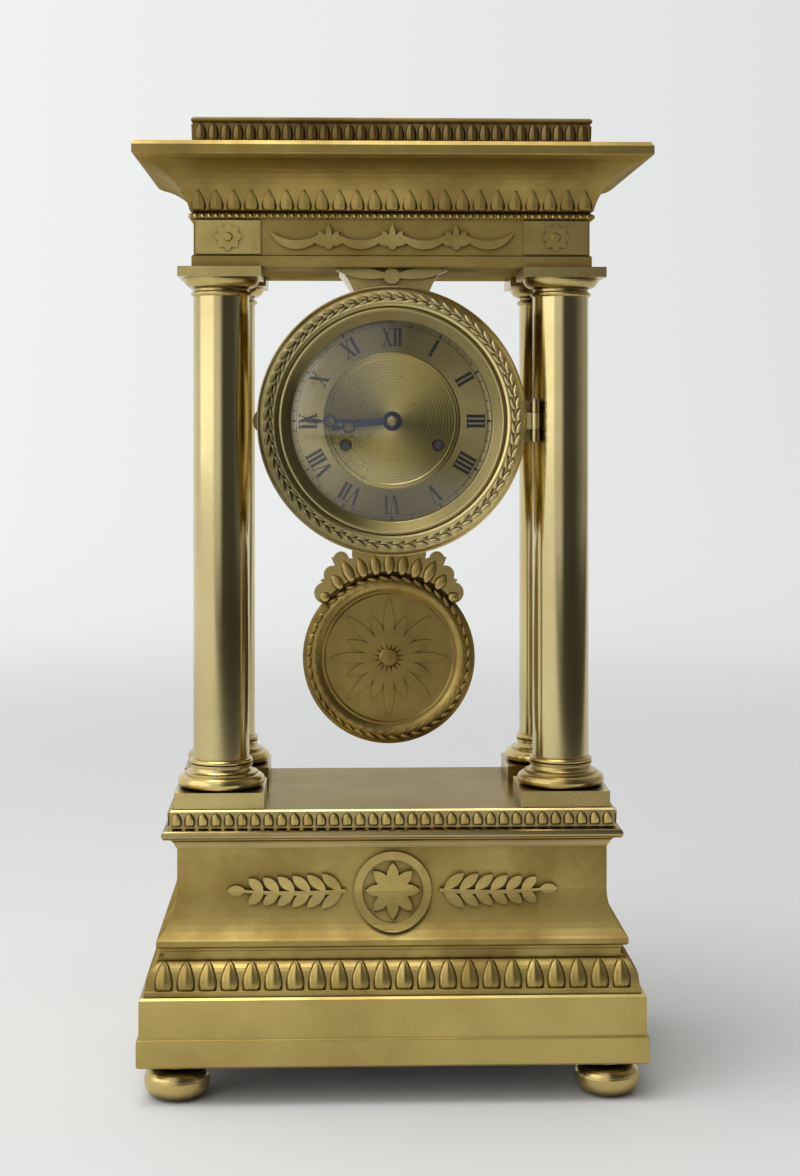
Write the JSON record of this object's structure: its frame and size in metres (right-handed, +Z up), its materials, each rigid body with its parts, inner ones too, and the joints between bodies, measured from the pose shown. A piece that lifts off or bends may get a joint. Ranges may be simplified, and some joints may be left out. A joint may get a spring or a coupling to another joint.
{
  "type": "portico mantel clock",
  "caption": "Portico mantel clock: moulded base on bun feet, four round columns, flared cornice, round movement drum with glazed doors and a swinging ornamental pendulum.",
  "frame": {"origin": "middle of the bounding box at the plane the feet stand on", "axes": "+Z up; the dial faces -Y; +X to the right seen from the front"},
  "size_m": [0.252, 0.156, 0.48],
  "materials": {
    "gilt": "aged fire gilding on bronze, satin",
    "gilt_matt": "aged matt gilding on bronze",
    "movement_brass": "polished brass",
    "steel": "polished steel",
    "iron": "bare sheet iron",
    "blued_steel": "heat-blued steel",
    "silvered": "matt silvered brass",
    "clear_glass": "clear polished glass"
  },
  "bodies": {
    "case": {"feet": "gilt", "base_plate": "iron", "lower_plinth": "gilt", "leaf_band": "gilt_matt", "base_die": "gilt", "base_ornaments": "gilt_matt", "platform": "gilt", "column_bases": "gilt", "shaft_front_left": "gilt", "shaft_front_right": "gilt", "shaft_rear_left": "gilt", "shaft_rear_right": "gilt", "capitals": "gilt", "tie_rods": "steel", "tie_nuts": "steel", "frieze": "gilt_matt", "frieze_ornaments": "gilt", "corner_panels": "gilt", "cornice": "gilt_matt", "attic_block": "gilt_matt", "drum_bracket": "gilt", "drum": "gilt_matt", "hinge_pins": "steel", "dial_plate": "silvered", "dial_centre": "gilt", "front_plate": "movement_brass", "back_plate": "movement_brass", "plate_pillars": "movement_brass", "movement_screws": "steel", "suspension_cock": "movement_brass", "bell": "steel", "bell_stand": "steel"},
    "front_door": {"bezel": "gilt", "bezel_glass": "clear_glass"},
    "rear_door": {"rear_door": "gilt_matt", "rear_glass": "clear_glass"},
    "minute": {"centre_wheel": "movement_brass", "cannon_pinion": "steel", "minute_hand": "blued_steel", "hand_nut": "movement_brass"},
    "hour": {"hour_wheel": "movement_brass", "hour_hand": "blued_steel"},
    "motion_wheel": {"minute_wheel": "movement_brass"},
    "going_barrel": {"going_barrel": "movement_brass"},
    "going_arbor": {"going_arbor": "steel"},
    "intermediate": {"intermediate_wheel": "movement_brass"},
    "third": {"third_wheel": "movement_brass"},
    "escape": {"escape_wheel": "movement_brass"},
    "anchor": {"anchor": "steel"},
    "pendulum": {"pendulum_rod": "movement_brass", "pendulum_bob": "gilt", "bob_crest": "gilt"},
    "strike_barrel": {"strike_barrel": "movement_brass"},
    "strike_arbor": {"strike_arbor": "steel"},
    "count_arbor": {"strike_wheel": "movement_brass", "count_wheel": "steel"},
    "pin_wheel": {"pin_wheel": "movement_brass"},
    "fly": {"fly": "movement_brass"},
    "hammer": {"hammer": "steel"},
    "regulator": {"regulator_arbor": "steel"}
  },
  "joints": [
    {"name": "front_door_hinge", "type": "hinge", "parent": "case", "child": "front_door", "pos_m": [0.071, -0.0476, 0.33], "axis": [0, 0, 1], "range_deg": [0, 100]},
    {"name": "rear_door_hinge", "type": "hinge", "parent": "case", "child": "rear_door", "pos_m": [0.0646, 0.0386, 0.33], "axis": [0, 0, -1], "range_deg": [0, 100]},
    {"name": "minute_turn", "type": "hinge", "parent": "case", "child": "minute", "pos_m": [0, -0.016, 0.33], "axis": [0, 1, 0], "continuous": true},
    {"name": "hour_turn", "type": "hinge", "parent": "case", "child": "hour", "pos_m": [0, -0.04, 0.33], "axis": [0, 1, 0], "continuous": true},
    {"name": "motion_wheel_turn", "type": "hinge", "parent": "case", "child": "motion_wheel", "pos_m": [0, -0.036, 0.34008], "axis": [0, 1, 0], "continuous": true},
    {"name": "going_barrel_turn", "type": "hinge", "parent": "case", "child": "going_barrel", "pos_m": [0.023, -0.016, 0.318], "axis": [0, 1, 0], "continuous": true},
    {"name": "intermediate_turn", "type": "hinge", "parent": "case", "child": "intermediate", "pos_m": [0.01654, -0.016, 0.3371], "axis": [0, 1, 0], "continuous": true},
    {"name": "third_turn", "type": "hinge", "parent": "case", "child": "third", "pos_m": [-0.00785, -0.016, 0.34438], "axis": [0, 1, 0], "continuous": true},
    {"name": "escape_turn", "type": "hinge", "parent": "case", "child": "escape", "pos_m": [0, -0.016, 0.35757], "axis": [0, 1, 0], "continuous": true},
    {"name": "pendulum_swing", "type": "hinge", "parent": "case", "child": "pendulum", "pos_m": [0, 0.01, 0.371], "axis": [0, 1, 0], "range_deg": [-3.5, 3.5]},
    {"name": "anchor_rock", "type": "hinge", "parent": "case", "child": "anchor", "pos_m": [0, -0.016, 0.371], "axis": [0, 1, 0], "range_deg": [-3.5, 3.5]},
    {"name": "going_winding", "type": "hinge", "parent": "case", "child": "going_arbor", "pos_m": [0.023, -0.016, 0.318], "axis": [0, 1, 0], "continuous": true},
    {"name": "strike_winding", "type": "hinge", "parent": "case", "child": "strike_arbor", "pos_m": [-0.023, -0.016, 0.318], "axis": [0, 1, 0], "continuous": true},
    {"name": "strike_barrel_turn", "type": "hinge", "parent": "case", "child": "strike_barrel", "pos_m": [-0.023, -0.016, 0.318], "axis": [0, 1, 0], "continuous": true},
    {"name": "count_turn", "type": "hinge", "parent": "case", "child": "count_arbor", "pos_m": [-0.0069, -0.016, 0.30587], "axis": [0, 1, 0], "continuous": true},
    {"name": "pin_wheel_turn", "type": "hinge", "parent": "case", "child": "pin_wheel", "pos_m": [0.00625, -0.016, 0.30472], "axis": [0, 1, 0], "continuous": true},
    {"name": "fly_turn", "type": "hinge", "parent": "case", "child": "fly", "pos_m": [0.0079, -0.016, 0.29534], "axis": [0, 1, 0], "continuous": true},
    {"name": "hammer_lift", "type": "hinge", "parent": "case", "child": "hammer", "pos_m": [0.02407, 0.01, 0.29497], "axis": [0, 1, 0], "range_deg": [0, 15]},
    {"name": "regulator_turn", "type": "hinge", "parent": "case", "child": "regulator", "pos_m": [0, -0.016, 0.3778], "axis": [0, 1, 0], "continuous": true}
  ],
  "couplings": [
    {"joint": "hour_turn", "follows": "minute_turn", "ratio": 0.083333},
    {"joint": "motion_wheel_turn", "follows": "minute_turn", "ratio": -0.33333},
    {"joint": "intermediate_turn", "follows": "minute_turn", "ratio": -0.15385},
    {"joint": "going_barrel_turn", "follows": "minute_turn", "ratio": 0.021978},
    {"joint": "third_turn", "follows": "minute_turn", "ratio": -12},
    {"joint": "escape_turn", "follows": "minute_turn", "ratio": 147.43},
    {"joint": "anchor_rock", "follows": "pendulum_swing", "ratio": 1},
    {"joint": "count_turn", "follows": "strike_barrel_turn", "ratio": -7},
    {"joint": "pin_wheel_turn", "follows": "strike_barrel_turn", "ratio": 63},
    {"joint": "fly_turn", "follows": "strike_barrel_turn", "ratio": -472.5}
  ]
}
